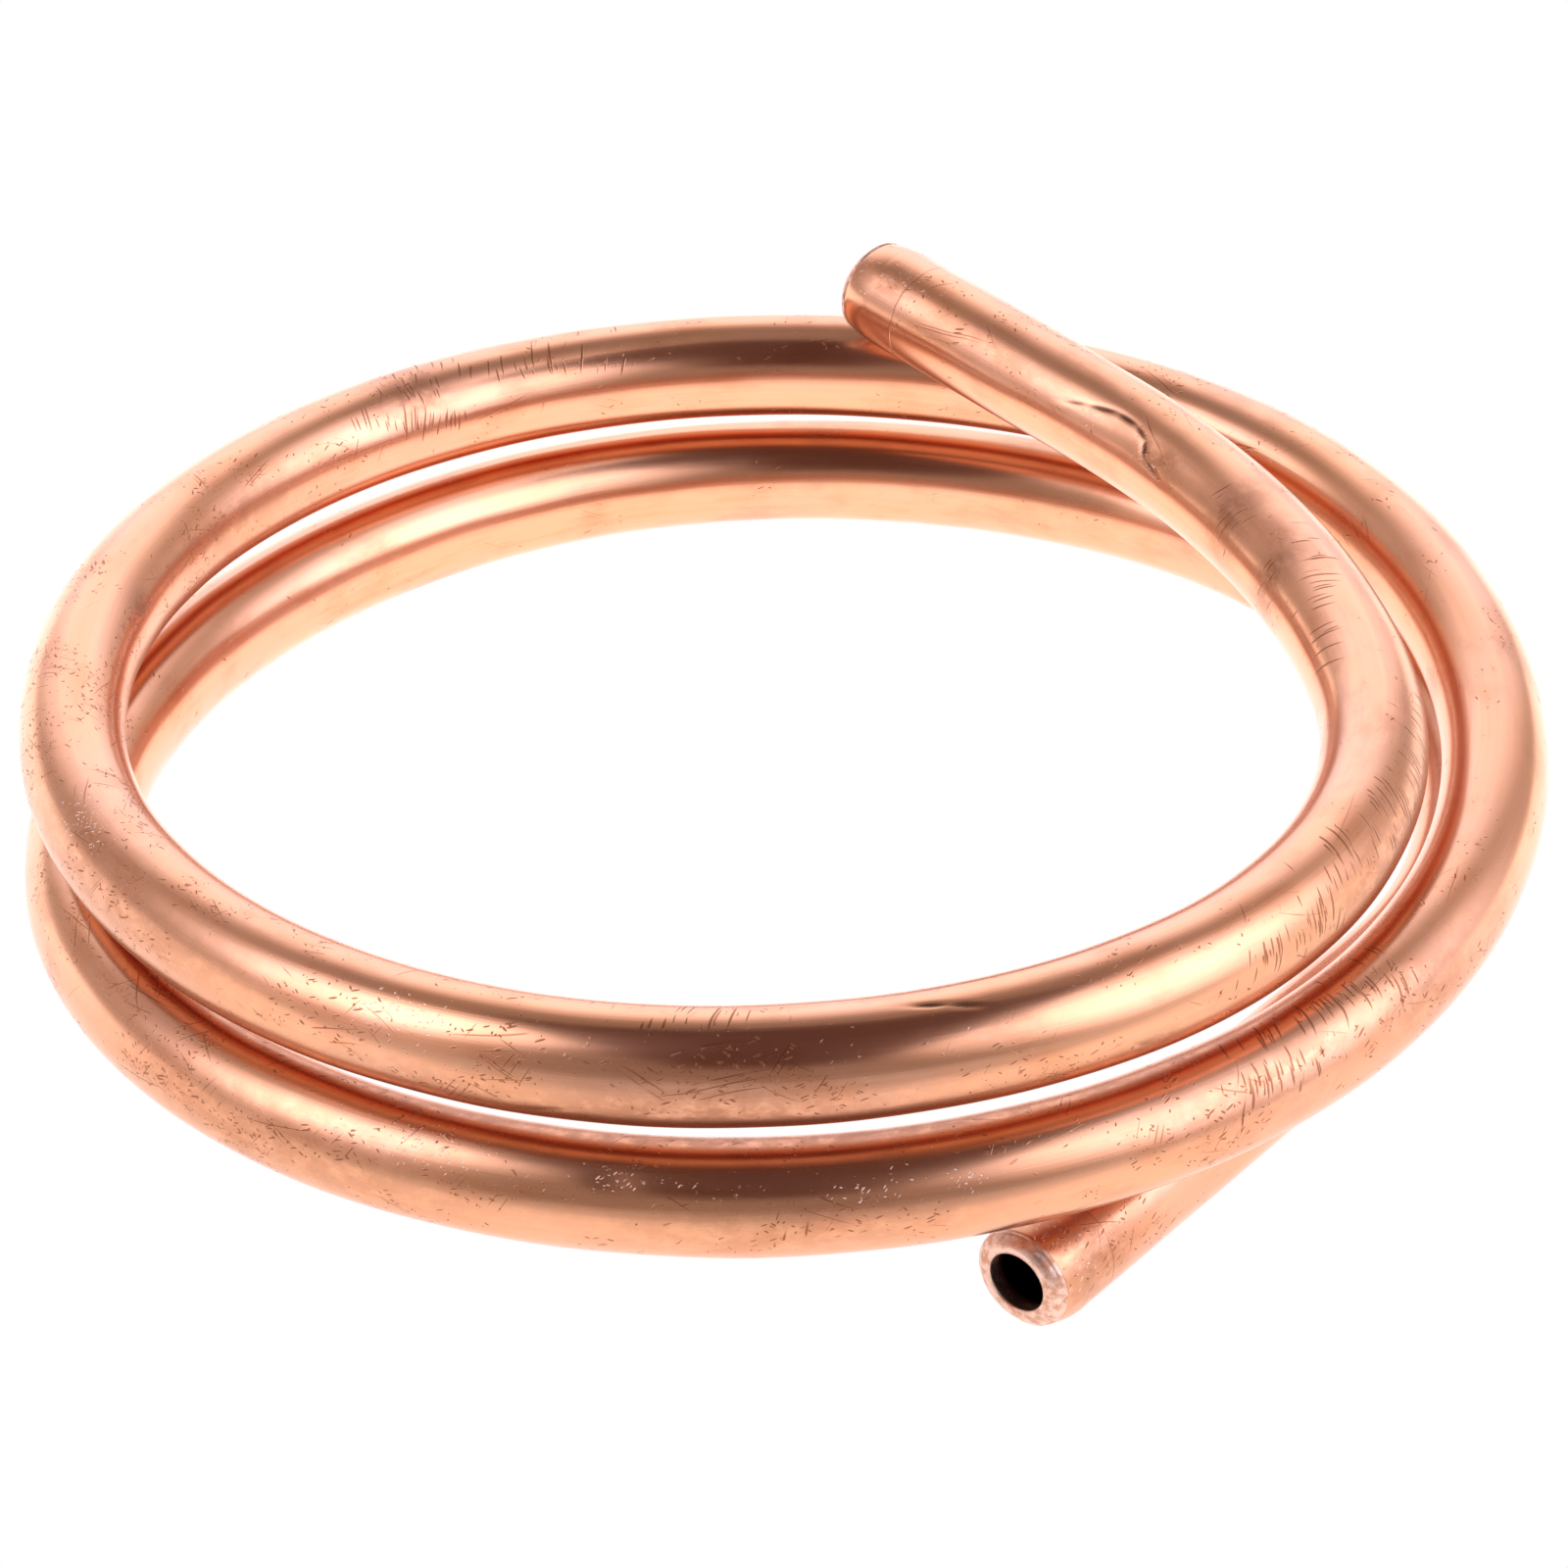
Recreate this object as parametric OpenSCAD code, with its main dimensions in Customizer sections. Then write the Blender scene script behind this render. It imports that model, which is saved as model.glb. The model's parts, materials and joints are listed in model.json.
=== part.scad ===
// Immersion wort chiller coil.
// One length of soft tube, bent by hand into a little over two open turns.
// The tube is written as a chain: a straight upper end, fourteen bends, a straight lower end.
// Each stretch is drawn in its own frame: +Y runs along the tube, -X points at the centre
// of the bend, and the next stretch starts where the last one stops.
// The coil lies flat: +Z is its winding axis and the lowest tube rests on z = 0.

/* [Tube] */
// Outer diameter of the tube
tube_od = 10; // [8:0.1:10.2]
// Wall thickness of the tube
tube_wall = 1; // [0.6:0.1:1.5]

/* [Cut ends] */
// Radius of the mouth that the cutting wheel leaves
mouth_radius = 2.8; // [2:0.1:3]
// Length of the narrow lip inside the mouth
mouth_lip = 1.6; // [1:0.1:3]
// Length over which the lip opens back to the full bore
mouth_taper = 1.8; // [1:0.1:4]
// Width of the flat ring round the mouth
face_ring = 0.5; // [0.2:0.1:0.8]
// Radius at the outer edge of the cut face
edge_radius = 4.6; // [3.9:0.1:4.9]
// How far the outer edge of the cut face lies behind the mouth
edge_back = 1; // [0.5:0.1:2]
// Length of the rounded shoulder behind the cut face
shoulder_length = 3; // [2:0.5:6]

/* [Upper end] */
// Distance of the upper mouth right of the coil's middle
upper_x = 8.2; // [-20:0.1:40]
// Distance of the upper mouth behind the coil's middle
upper_y = 64.1; // [40:0.1:90]
// Height of the centre of the upper mouth
upper_z = 27.32; // [20:0.01:60]
// Direction of the upper end, turned clockwise from +X
upper_heading = 47; // [30:1:60]
// Downward slope of the upper end
upper_fall = 1; // [0:0.5:5]
// Sideways lean of the first bend
upper_roll = -6; // [-10:0.5:10]
// Length of the straight upper end
upper_straight = 31.5; // [15:0.5:60]
// Radius of the wide bend after the upper end
upper_lead_radius = 82; // [50:1:120]
// Angle of the wide bend after the upper end
upper_lead_angle = 36; // [30:1:45]

/* [Turn one] */
// Angle of each bend in the turns
bend_angle = 60; // [58:0.5:62]
// Radius of the right-hand bend, turn one
turn1_right_radius = 51; // [40:1:90]
// Roll before the right-hand bend, turn one
turn1_right_roll = 6; // [-10:0.5:10]
// Radius of the front bend, turn one
turn1_front_radius = 57; // [40:1:90]
// Roll before the front bend, turn one
turn1_front_roll = 4; // [-10:0.5:10]
// Radius of the front left bend, turn one
turn1_front_left_radius = 64; // [40:1:90]
// Roll before the front left bend, turn one
turn1_front_left_roll = -2.5; // [-10:0.5:10]
// Radius of the back left bend, turn one
turn1_back_left_radius = 66; // [40:1:90]
// Roll before the back left bend, turn one
turn1_back_left_roll = 3.5; // [-10:0.5:10]
// Radius of the back bend, turn one
turn1_back_radius = 64; // [40:1:90]
// Roll before the back bend, turn one
turn1_back_roll = -1; // [-10:0.5:10]
// Radius of the back right bend, turn one
turn1_back_right_radius = 63; // [40:1:90]
// Roll before the back right bend, turn one
turn1_back_right_roll = 7; // [-10:0.5:10]

/* [Turn two] */
// Radius of the right-hand bend, turn two
turn2_right_radius = 67; // [40:1:90]
// Roll before the right-hand bend, turn two
turn2_right_roll = -4; // [-10:0.5:10]
// Radius of the front bend, turn two
turn2_front_radius = 67; // [40:1:90]
// Roll before the front bend, turn two
turn2_front_roll = 4; // [-10:0.5:10]
// Radius of the front left bend, turn two
turn2_front_left_radius = 57; // [40:1:90]
// Roll before the front left bend, turn two
turn2_front_left_roll = 3.5; // [-10:0.5:10]
// Radius of the back left bend, turn two
turn2_back_left_radius = 72; // [40:1:90]
// Roll before the back left bend, turn two
turn2_back_left_roll = -1; // [-10:0.5:10]
// Radius of the back bend, turn two
turn2_back_radius = 67; // [40:1:90]
// Roll before the back bend, turn two
turn2_back_roll = 3.5; // [-10:0.5:10]
// Radius of the back right bend, turn two
turn2_back_right_radius = 53; // [40:1:90]
// Roll before the back right bend, turn two
turn2_back_right_roll = 2; // [-10:0.5:10]

/* [Lower end] */
// Radius of the last bend, under the outer turn
lower_lead_radius = 51; // [40:1:90]
// Angle of the last bend
lower_lead_angle = 46; // [30:1:60]
// Roll before the last bend
lower_lead_roll = 1; // [-10:0.5:10]
// Length of the straight lower end
lower_straight = 53.5; // [20:0.5:80]

/* [Hidden] */
$fn = 96;
// Facets that a full turn of a bend would have
bend_facets = 240;

outer_radius = tube_od / 2;
bore_radius = outer_radius - tube_wall;

// Each row is one bend, from the upper end down: roll before it, radius, angle.
BENDS = [
    [upper_roll, upper_lead_radius, upper_lead_angle],
    [turn1_right_roll, turn1_right_radius, bend_angle],
    [turn1_front_roll, turn1_front_radius, bend_angle],
    [turn1_front_left_roll, turn1_front_left_radius, bend_angle],
    [turn1_back_left_roll, turn1_back_left_radius, bend_angle],
    [turn1_back_roll, turn1_back_radius, bend_angle],
    [turn1_back_right_roll, turn1_back_right_radius, bend_angle],
    [turn2_right_roll, turn2_right_radius, bend_angle],
    [turn2_front_roll, turn2_front_radius, bend_angle],
    [turn2_front_left_roll, turn2_front_left_radius, bend_angle],
    [turn2_back_left_roll, turn2_back_left_radius, bend_angle],
    [turn2_back_roll, turn2_back_radius, bend_angle],
    [turn2_back_right_roll, turn2_back_right_radius, bend_angle],
    [lower_lead_roll, lower_lead_radius, lower_lead_angle]
];
ROLL = 0;
RADIUS = 1;
ANGLE = 2;

copper = [0.80, 0.46, 0.31];
bright_copper = [0.89, 0.57, 0.42];

// Puts its children at the upper mouth, with +Y running into the tube.
module at_upper_mouth() {
    translate([upper_x, upper_y, upper_z])
        rotate([0, 0, -upper_heading])
            rotate([0, upper_fall, 0])
                rotate([0, 0, 90])
                    rotate([180, 0, 0])
                        children();
}

// Puts its children where bend number n starts, counted from 0 at the upper end.
// Number len(BENDS) is the start of the straight lower end.
module at_bend(n) {
    if (n == 0) {
        at_upper_mouth()
            translate([0, upper_straight, 0])
                rotate([0, BENDS[0][ROLL], 0])
                    children();
    } else {
        before = BENDS[n - 1];
        roll = n < len(BENDS) ? BENDS[n][ROLL] : 0;
        at_bend(n - 1)
            translate([-before[RADIUS], 0, 0])
                rotate([0, 0, before[ANGLE]])
                    translate([before[RADIUS], 0, 0])
                        rotate([0, roll, 0])
                            children();
    }
}

// One bend of plain tube, from the origin along +Y and round towards -X.
module bent_tube(radius, angle) {
    translate([-radius, 0, 0])
        rotate_extrude(angle = angle, $fn = bend_facets)
            translate([radius, 0])
                difference() {
                    circle(r = outer_radius);
                    circle(r = bore_radius);
                }
}

// A straight tube from a cut mouth at the origin along +Y to a plain joint at length.
// The cutting wheel has pressed the wall in: a lip inside, a rounded shoulder outside.
module mouth_tube(length) {
    face_radius = mouth_radius + face_ring;
    mid_shoulder = (edge_radius + 3 * outer_radius) / 4;
    rotate([-90, 0, 0])
        rotate_extrude()
            polygon([
                [mouth_radius, 0],
                [face_radius, 0],
                [edge_radius, edge_back],
                [mid_shoulder, edge_back + shoulder_length / 3],
                [outer_radius, edge_back + shoulder_length],
                [outer_radius, length],
                [bore_radius, length],
                [bore_radius, mouth_lip + mouth_taper],
                [mouth_radius, mouth_lip]
            ]);
}

// Bend number n in its place.
module bend(n) {
    at_bend(n)
        bent_tube(BENDS[n][RADIUS], BENDS[n][ANGLE]);
}

module upper_end() {
    color(bright_copper)
        at_upper_mouth()
            mouth_tube(upper_straight);
}

module upper_lead() {
    color(copper)
        bend(0);
}

module turn1_right() {
    color(copper)
        bend(1);
}

module turn1_front() {
    color(copper)
        bend(2);
}

module turn1_front_left() {
    color(copper)
        bend(3);
}

module turn1_back_left() {
    color(copper)
        bend(4);
}

module turn1_back() {
    color(copper)
        bend(5);
}

module turn1_back_right() {
    color(copper)
        bend(6);
}

module turn2_right() {
    color(copper)
        bend(7);
}

module turn2_front() {
    color(copper)
        bend(8);
}

module turn2_front_left() {
    color(copper)
        bend(9);
}

module turn2_back_left() {
    color(copper)
        bend(10);
}

module turn2_back() {
    color(copper)
        bend(11);
}

module turn2_back_right() {
    color(copper)
        bend(12);
}

module lower_lead() {
    color(copper)
        bend(13);
}

// The lower end is the same cut tube, turned round so that its mouth is at the far end.
module lower_end() {
    color(bright_copper)
        at_bend(len(BENDS))
            translate([0, lower_straight, 0])
                rotate([0, 0, 180])
                    mouth_tube(lower_straight);
}

upper_end();
upper_lead();
turn1_right();
turn1_front();
turn1_front_left();
turn1_back_left();
turn1_back();
turn1_back_right();
turn2_right();
turn2_front();
turn2_front_left();
turn2_back_left();
turn2_back();
turn2_back_right();
lower_lead();
lower_end();
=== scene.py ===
import json
import logging
import math
from collections.abc import Callable, Mapping, Sequence
from dataclasses import dataclass, field
from enum import Enum, IntEnum

import bpy
import numpy as np
from mathutils import Matrix, Vector


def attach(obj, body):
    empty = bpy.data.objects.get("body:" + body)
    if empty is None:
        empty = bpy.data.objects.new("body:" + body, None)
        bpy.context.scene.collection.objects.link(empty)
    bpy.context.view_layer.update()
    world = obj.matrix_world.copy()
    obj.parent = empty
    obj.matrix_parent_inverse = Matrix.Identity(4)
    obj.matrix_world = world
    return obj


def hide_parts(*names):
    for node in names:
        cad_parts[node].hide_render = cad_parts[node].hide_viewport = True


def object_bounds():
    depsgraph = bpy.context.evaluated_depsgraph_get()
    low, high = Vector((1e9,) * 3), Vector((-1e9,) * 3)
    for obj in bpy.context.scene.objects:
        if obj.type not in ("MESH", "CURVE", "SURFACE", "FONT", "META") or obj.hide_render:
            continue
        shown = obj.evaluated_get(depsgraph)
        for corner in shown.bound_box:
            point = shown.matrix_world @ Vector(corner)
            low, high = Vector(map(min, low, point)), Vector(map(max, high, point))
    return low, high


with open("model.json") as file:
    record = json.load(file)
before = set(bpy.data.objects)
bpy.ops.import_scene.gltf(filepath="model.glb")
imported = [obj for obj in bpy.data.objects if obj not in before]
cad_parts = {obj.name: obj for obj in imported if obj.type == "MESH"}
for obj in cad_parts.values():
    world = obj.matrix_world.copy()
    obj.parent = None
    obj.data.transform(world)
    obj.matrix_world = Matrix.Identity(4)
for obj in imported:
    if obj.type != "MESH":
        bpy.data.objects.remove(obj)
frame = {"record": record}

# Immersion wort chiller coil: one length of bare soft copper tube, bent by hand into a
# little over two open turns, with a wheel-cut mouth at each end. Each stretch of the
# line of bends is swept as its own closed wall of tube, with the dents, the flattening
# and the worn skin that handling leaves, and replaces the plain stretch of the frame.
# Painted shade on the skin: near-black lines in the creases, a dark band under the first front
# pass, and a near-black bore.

CAD_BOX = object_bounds()
MM = 0.001
BODY = "root"
LOG = logging.getLogger("chiller")

# Two lengths along the tube closer than this (mm) are the same place.
SLIVER = 1e-9
# A mark has faded away at this many half sizes from its middle.
MARK_REACH = 4.5
# The square of such a distance is held to this, which keeps the weights above zero.
MARK_FADED = 60.0
# Faces that meet at more than this angle (degrees) keep a sharp edge.
SHARP_ANGLE = 55.0

Array = np.ndarray
Pair = tuple[float, float]
Triple = tuple[float, float, float]
Colour = Triple


class Slot(Enum):
    """The record's material slots."""

    COPPER = "copper"
    CUT_COPPER = "cut_copper"


class Layer(Enum):
    """Names of the values that each tube mesh carries for its finishes."""

    UNROLLED = "unrolled"
    PITTING = "pitting"
    STAIN_AND_SHADE = "stain_and_shade"
    TICKS = "ticks"
    CREASE = "crease"
    NICKS = "nicks"


class Skin(IntEnum):
    """The parts of a tube's surface, numbered in the order of its materials."""

    OUTSIDE = 0
    FACE = 1
    BORE = 2


# ---------------------------------------------------------------- line of the tube


@dataclass(frozen=True)
class Stretch:
    """One stretch of the line: a bend, or a straight where radius is 0.

    roll is the turn about the tube before the bend, in degrees, radius and length are
    in millimetres, and fineness multiplies the number of rings and columns.
    """

    name: str
    roll: float = 0.0
    radius: float = 0.0
    angle: float = 0.0
    length: float = 0.0
    fineness: float = 1.0

    @property
    def run(self) -> float:
        """Length along the tube, in millimetres."""
        return self.length or self.radius * math.radians(self.angle)


STRETCHES = (
    Stretch("upper_end", length=31.5, fineness=1.3),
    Stretch("upper_lead", -6, 82, 36, fineness=1.7),
    Stretch("turn1_right", 6, 51, 60),
    Stretch("turn1_front", 4, 57, 60, fineness=1.7),
    Stretch("turn1_front_left", -2.5, 64, 60),
    Stretch("turn1_back_left", 3.5, 66, 60),
    Stretch("turn1_back", -1, 64, 60),
    Stretch("turn1_back_right", 7, 63, 60),
    Stretch("turn2_right", -4, 67, 60),
    Stretch("turn2_front", 4, 67, 60, fineness=1.3),
    Stretch("turn2_front_left", 3.5, 57, 60),
    Stretch("turn2_back_left", -1, 72, 60),
    Stretch("turn2_back", 3.5, 67, 60),
    Stretch("turn2_back_right", 2, 53, 60),
    Stretch("lower_lead", 1, 51, 46),
    Stretch("lower_end", length=53.5, fineness=1.3),
)


@dataclass
class TubeLine:
    """The centre line, from the upper mouth down, with a frame carried along it.

    up and out are the frame's two directions across the tube: up starts upward and out
    starts away from the middle of the coil, and neither turns about the tube. inward is
    the angle, in that frame, of the way to the bend's centre, and bent is 1 in a bend and
    0 in a straight. step is the spacing of the points, ease the spread of the weights
    that round off a joint, tails how many spreads the weights take in, and margin how far
    the line is carried on past each mouth. Lengths are in mm.
    """

    stretches: Sequence[Stretch]
    start: Vector
    heading: Vector
    step: float = 0.25
    ease: float = 4.0
    tails: float = 4.0
    margin: float = 30.0
    s: Array = field(init=False)
    centre: Array = field(init=False)
    tangent: Array = field(init=False)
    up: Array = field(init=False)
    out: Array = field(init=False)
    inward: Array = field(init=False)
    bent: Array = field(init=False)

    def __post_init__(self) -> None:
        """Walks the bends, then eases the joints between them."""
        points, side, bent = self._walk()
        smooth = self._eased(points)
        self.s = np.arange(len(points)) * self.step - self.margin
        self.centre = smooth
        tangent = np.gradient(smooth, axis=0)
        self.tangent = tangent / np.linalg.norm(tangent, axis=1, keepdims=True)
        self.up = self._carried(np.array((0.0, 0.0, 1.0)))
        self.out = np.cross(self.up, self.tangent)
        self.out *= -np.sign(np.sum(self.out[0] * side[0]))
        self.bent = self._softened(bent)
        across = np.sum(side * self.up, axis=1), np.sum(side * self.out, axis=1)
        self.inward = np.arctan2(self._softened(across[1]), self._softened(across[0]))

    @property
    def total(self) -> float:
        """Length of the whole tube, in millimetres."""
        return sum(stretch.run for stretch in self.stretches)

    def _walk(self) -> tuple[Array, Array, Array]:
        """Follows the straights and bends from the upper mouth.

        Returns:
            For every step: the point, the way to the bend's centre, and 1 in a bend.
        """
        point = np.array(self.start) / MM
        along = np.array(self.heading)
        level = np.cross(along, (0.0, 0.0, 1.0))
        side = level / np.linalg.norm(level)
        count = round((self.total + 2 * self.margin) / self.step) + 1
        want = np.arange(count) * self.step - self.margin
        points, sides, bent = np.zeros((count, 3)), np.zeros((count, 3)), np.zeros(count)
        begin = 0.0
        last = len(self.stretches) - 1
        for number, stretch in enumerate(self.stretches):
            turn = math.radians(stretch.roll)
            down = np.cross(along, side)
            side = math.cos(turn) * side + math.sin(turn) * down
            low = -math.inf if number == 0 else begin
            high = math.inf if number == last else begin + stretch.run
            here = (want >= low - SLIVER) & (want < high)
            local = (want[here] - begin)[:, None]
            if stretch.radius:
                swing = local / stretch.radius
                reach = stretch.radius * (1 - np.cos(swing))
                points[here] = point + stretch.radius * np.sin(swing) * along + reach * side
                sides[here] = np.cos(swing) * side - np.sin(swing) * along
                bent[here] = 1.0
                point, along, side = self._past(stretch, point, along, side)
            else:
                points[here] = point + local * along
                sides[here] = side
                point = point + stretch.run * along
            begin += stretch.run
        return points, sides, bent

    @staticmethod
    def _past(stretch: Stretch, point: Array, along: Array,
              side: Array) -> tuple[Array, Array, Array]:
        """Steps past a bend.

        Args:
            stretch: the bend.
            point: where the bend starts.
            along: the tube's direction there.
            side: the way to the bend's centre there.

        Returns:
            The same three just past the bend.
        """
        swing = math.radians(stretch.angle)
        reach = stretch.radius * (1 - math.cos(swing))
        past = point + stretch.radius * math.sin(swing) * along + reach * side
        ahead = math.cos(swing) * along + math.sin(swing) * side
        return past, ahead, math.cos(swing) * side - math.sin(swing) * along

    def _kernel(self) -> Array:
        """Works out the weights that ease a joint.

        Returns:
            The weights, which add up to 1.
        """
        reach = round(self.tails * self.ease / self.step)
        weights = np.exp(-0.5 * (np.arange(-reach, reach + 1) * self.step / self.ease) ** 2)
        return weights / weights.sum()

    def _softened(self, values: Array) -> Array:
        """Eases the steps in values along the line.

        Args:
            values: one number for each point.

        Returns:
            The eased numbers.
        """
        weights = self._kernel()
        padded = np.pad(values, len(weights) // 2, mode="edge")
        return np.convolve(padded, weights, mode="valid")

    def _eased(self, points: Array) -> Array:
        """Eases the joints twice over, so that the curve keeps its radius.

        Args:
            points: the line's points, one to a row.

        Returns:
            The eased points.
        """
        weights = self._kernel()

        def blur(column: Array) -> Array:
            """One column, carried on straight past both ends and eased."""
            padded = np.pad(column, len(weights) // 2, mode="reflect", reflect_type="odd")
            return np.convolve(padded, weights, mode="valid")

        once = np.stack([blur(points[:, axis]) for axis in range(3)], axis=1)
        twice = np.stack([blur(once[:, axis]) for axis in range(3)], axis=1)
        return 2 * once - twice

    def _carried(self, start: Array) -> Array:
        """Carries a direction across the tube along it without turning about it.

        Args:
            start: the direction at the first point.

        Returns:
            The direction at every point, one to a row.
        """
        rows = np.zeros_like(self.tangent)
        held = start
        for number, along in enumerate(self.tangent):
            held = held - held.dot(along) * along
            held = held / np.linalg.norm(held)
            rows[number] = held
        return rows

    def at(self, values: Array, s: Array) -> Array:
        """Reads values of the line.

        Args:
            values: numbers or vectors, one for each point.
            s: the lengths to read at, in mm.

        Returns:
            The values between the points.
        """
        if values.ndim == 1:
            return np.interp(s, self.s, values)
        return np.stack([np.interp(s, self.s, values[:, axis]) for axis in range(3)], axis=1)


# ---------------------------------------------------------------- marks on the skin


@dataclass(frozen=True)
class Mark:
    """A patch at a length along the tube (mm) and an angle round it (degrees).

    Angle 0 is the top and 90 the outer flank. long and wide are half sizes in mm, and
    lean turns the patch in degrees.
    """

    s: float
    angle: float
    long: float
    wide: float
    lean: float = 0.0
    strength: float = 1.0

    def weight(self, s: Array, angle: Array, radius: float) -> Array:
        """How strongly the mark lies at each point.

        Args:
            s: lengths along the tube, in mm.
            angle: angles round the tube, in radians.
            radius: the tube's radius, in mm.

        Returns:
            Weights from 0 to strength.
        """
        turn = math.radians(self.lean)
        round_by = np.angle(np.exp(1j * (angle - math.radians(self.angle)))) * radius
        along = (s - self.s) * math.cos(turn) + round_by * math.sin(turn)
        across = round_by * math.cos(turn) - (s - self.s) * math.sin(turn)
        far = (along / self.long) ** 2 + (across / self.wide) ** 2
        return self.strength * np.exp(-0.5 * np.minimum(far, MARK_FADED))


# Creases, dented into the wall; the skin also paints a near-black line of shade along each one.
CREASES = (
    Mark(32.2, -50, 1.3, 0.20, 18, 0.8),
    Mark(35.3, -40, 1.7, 0.22, 15),
    Mark(38.4, -35, 1.4, 0.22),
    Mark(40.8, -39, 1.1, 0.22, -18),
    Mark(42.3, -51.5, 0.9, 0.24, -59),
    Mark(44.3, -65.5, 1.4, 0.20, -18, 0.8),
    Mark(159, 8.5, 1.3, 0.20, -9),
    Mark(156.4, 15.5, 1.3, 0.20, -17, 0.8),
    Mark(142.6, 104, 1.1, 0.26, -30, 0.5),
    Mark(190, 118, 2.4, 0.24, 14, 0.45),
)

DENTS = (
    Mark(43.5, -56, 2.6, 1.4, 0, 0.5),
    Mark(36, -30, 4, 2, 0, 0.4),
    Mark(157.5, 25, 4, 1.8, 0, 0.6),
    Mark(333, -45, 5, 3, 0, 0.5),
    Mark(283, -60, 2.6, 1.6, 0, 0.5),
    Mark(243, 24, 3, 2, 0, 0.4),
    Mark(590, 32, 1.4, 0.9, 0, 0.9),
    Mark(522, 40, 5, 2, 0, 0.4),
    Mark(118, 62, 5, 2.2, 0, 0.5),
)

# Brown stains, with painted shade and a painted dark reflection under the first front pass.
STAINS_AND_SHADE = (
    Mark(45.5, -47, 2.6, 1.3, 10),
    Mark(57, -47, 2.2, 3, 12),
    Mark(67.2, -55, 1.8, 3, 10),
    Mark(64, -22, 2.6, 1.2, 0, 0.6),
    Mark(5, -38, 3.4, 1.5, 0, 0.9),
    Mark(20, -48, 10, 1.2, 0, 0.5),
    Mark(333, -30, 3.4, 2.8, 0, 0.9),
    Mark(305, -75, 9, 2.2, 0, 0.6),
    Mark(284, -59, 1.3, 0.7),
    # Under the first front pass: brown blotches that also paint the shade from the pass below.
    Mark(178, 112, 12, 2.2, 0, 0.9),
    Mark(198, 112, 9, 2, 0, 0.6),
    Mark(235, 60, 14, 3, 0, 0.6),
    Mark(618, 66, 14, 3.4, 0, 0.6),
    Mark(577, 80, 12, 2.4, 0, 0.5),
    Mark(535, 40, 9, 2, 0, 0.6),
    Mark(516, 45, 6, 3.2, 0, 0.6),
    Mark(108, 72, 14, 2, 0, 0.8),
    Mark(141, 112, 3, 0.8, 0, 0.9),
    # Painted reflection: a long dark band where the first front pass mirrors the dark pass below
    # it.
    Mark(186, 120, 32, 1.3, 0, 0.8),
    Mark(580, -22, 40, 1),
    Mark(955.5, 30, 4, 5, 0, 0.8),
    Mark(958, -20, 3, 5, 0, 0.6),
)

TICKS = (
    Mark(128.4, 80, 3, 1.3),
    Mark(122.5, 62, 3.6, 1.6),
    Mark(116, 46, 4.2, 1.8),
    Mark(108, 46, 4.5, 1.9),
    Mark(100, 52, 4.5, 1.6, 0, 0.8),
    Mark(92, 58, 5, 1.5, 0, 0.5),
    Mark(533, 26, 4.5, 1.8),
    Mark(526, 14, 4.5, 1.8),
    Mark(519, 2, 3, 2, 0, 0.55),
    Mark(179, 2, 4.6, 1.1),
    Mark(333, -40, 3.4, 2.8),
    Mark(57.2, -36, 2, 3, 0, 0.6),
    Mark(67.6, -42, 1.8, 2.8, 0, 0.6),
    Mark(76, -20, 7, 2.4, 0, 0.4),
    Mark(345, -35, 9, 2, 0, 0.5),
    Mark(577, 76, 0.8, 1.2, 0, 0.8),
)

PITTED = (
    Mark(250, 30, 45, 7, 0, 0.9),
    Mark(285, -60, 30, 5, 0, 0.8),
    Mark(640, 60, 45, 7),
    Mark(190, 85, 30, 4),
    Mark(590, 60, 30, 5, 0, 0.7),
    Mark(150, 80, 18, 4, 0, 0.6),
    Mark(535, 45, 30, 5, 0, 0.8),
    Mark(320, -20, 25, 4, 0, 0.5),
    Mark(20, 10, 20, 4, 0, 0.5),
    Mark(430, 20, 40, 6, 0, 0.5),
    Mark(955, 30, 10, 8, 0, 0.6),
)

NICKS = (
    Mark(590.3, 32, 0.9, 0.9),
    Mark(588, 28, 2.2, 0.5, 0, 0.5),
    Mark(570, 40, 1.8, 0.6, 0, 0.7),
    Mark(562, 44, 1.4, 0.7, 0, 0.8),
    Mark(580, 24, 30, 2.4, 0, 0.07),
    Mark(170, 40, 25, 3, 0, 0.05),
    Mark(34.7, -53, 0.9, 0.5),
    Mark(43.2, -60, 1.2, 0.5),
    Mark(243, 20, 2.5, 1.5, 0, 0.8),
    Mark(202, 38, 3, 1.4, 0, 0.5),
    Mark(606, 28, 3, 1.4, 0, 0.6),
    Mark(958, 23, 2.5, 4, 0, 0.25),
    Mark(5, -30, 4, 2, 0, 0.2),
)


def painted(marks: Sequence[Mark], s: Array, angle: Array, radius: float) -> Array:
    """Lays marks over each other, with far ones passed over.

    Args:
        marks: the marks.
        s: lengths along the tube, in mm.
        angle: angles round the tube, in radians.
        radius: the tube's radius, in mm.

    Returns:
        The strongest mark's weight at each point.
    """
    total = np.zeros(np.broadcast(s, angle).shape)
    for mark in marks:
        reach = MARK_REACH * max(mark.long, mark.wide)
        if mark.s + reach > s.min() and mark.s - reach < s.max():
            total = np.maximum(total, mark.weight(s, angle, radius))
    return total


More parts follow.
